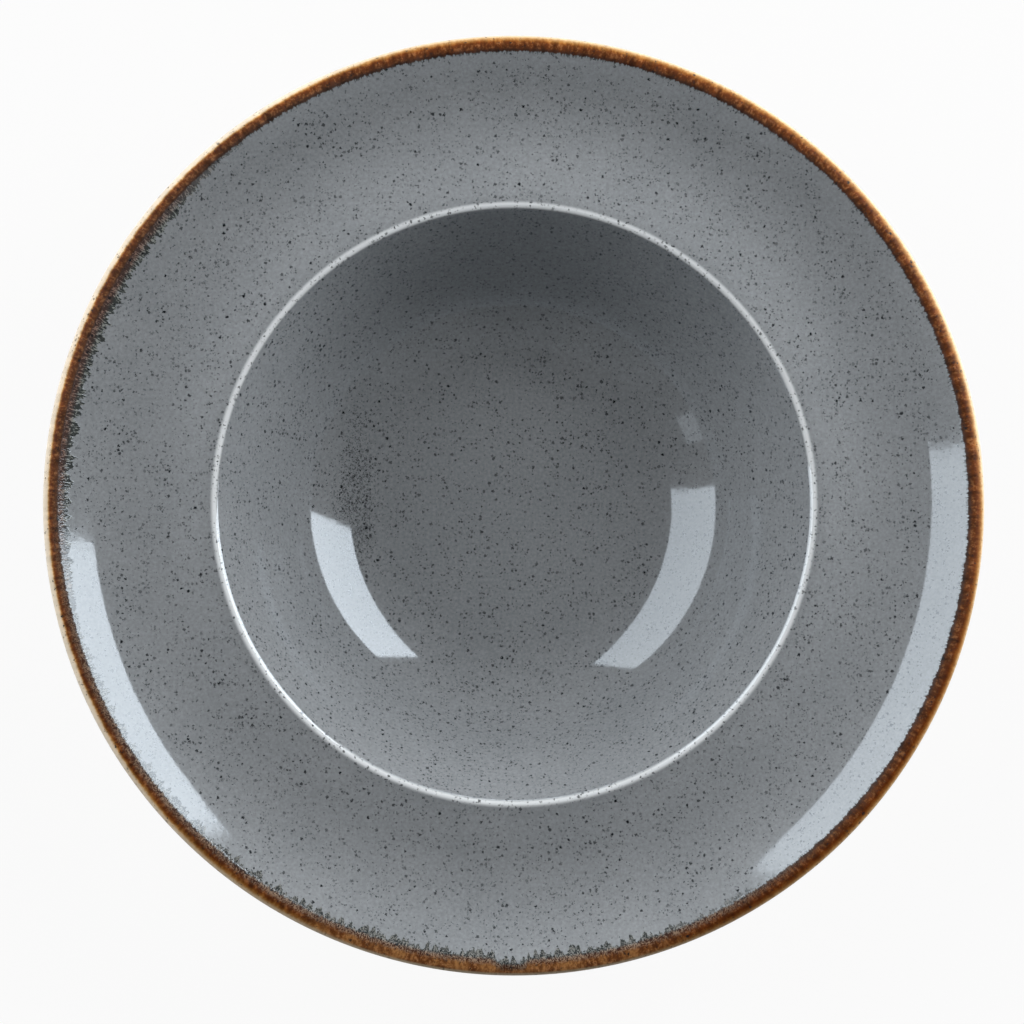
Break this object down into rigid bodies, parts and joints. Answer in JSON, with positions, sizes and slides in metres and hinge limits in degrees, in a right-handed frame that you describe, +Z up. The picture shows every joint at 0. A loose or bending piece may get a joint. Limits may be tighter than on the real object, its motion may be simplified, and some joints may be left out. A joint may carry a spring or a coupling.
{
  "type": "pasta plate",
  "caption": "Round pasta plate with a deep flat-bottomed well, a wide dished rim, a rolled lip and a low foot ring, in grey speckled glaze with a brown reactive edge.",
  "frame": {"origin": "middle of the plane that the foot ring stands on", "axes": "+Z up along the plate's axis of revolution; X and Y lie in the resting plane"},
  "size_m": [0.27, 0.27, 0.053],
  "materials": {
    "bare_bisque": "matte",
    "grey_speckled_glaze": "gloss",
    "brown_reactive_glaze": "gloss",
    "pale_underside_glaze": "gloss"
  },
  "bodies": {
    "root": {"ceramic_body": "bare_bisque", "face_glaze": "grey_speckled_glaze", "edge_glaze": "brown_reactive_glaze", "underside_glaze": "pale_underside_glaze", "base_glaze": "pale_underside_glaze"}
  },
  "joints": []
}
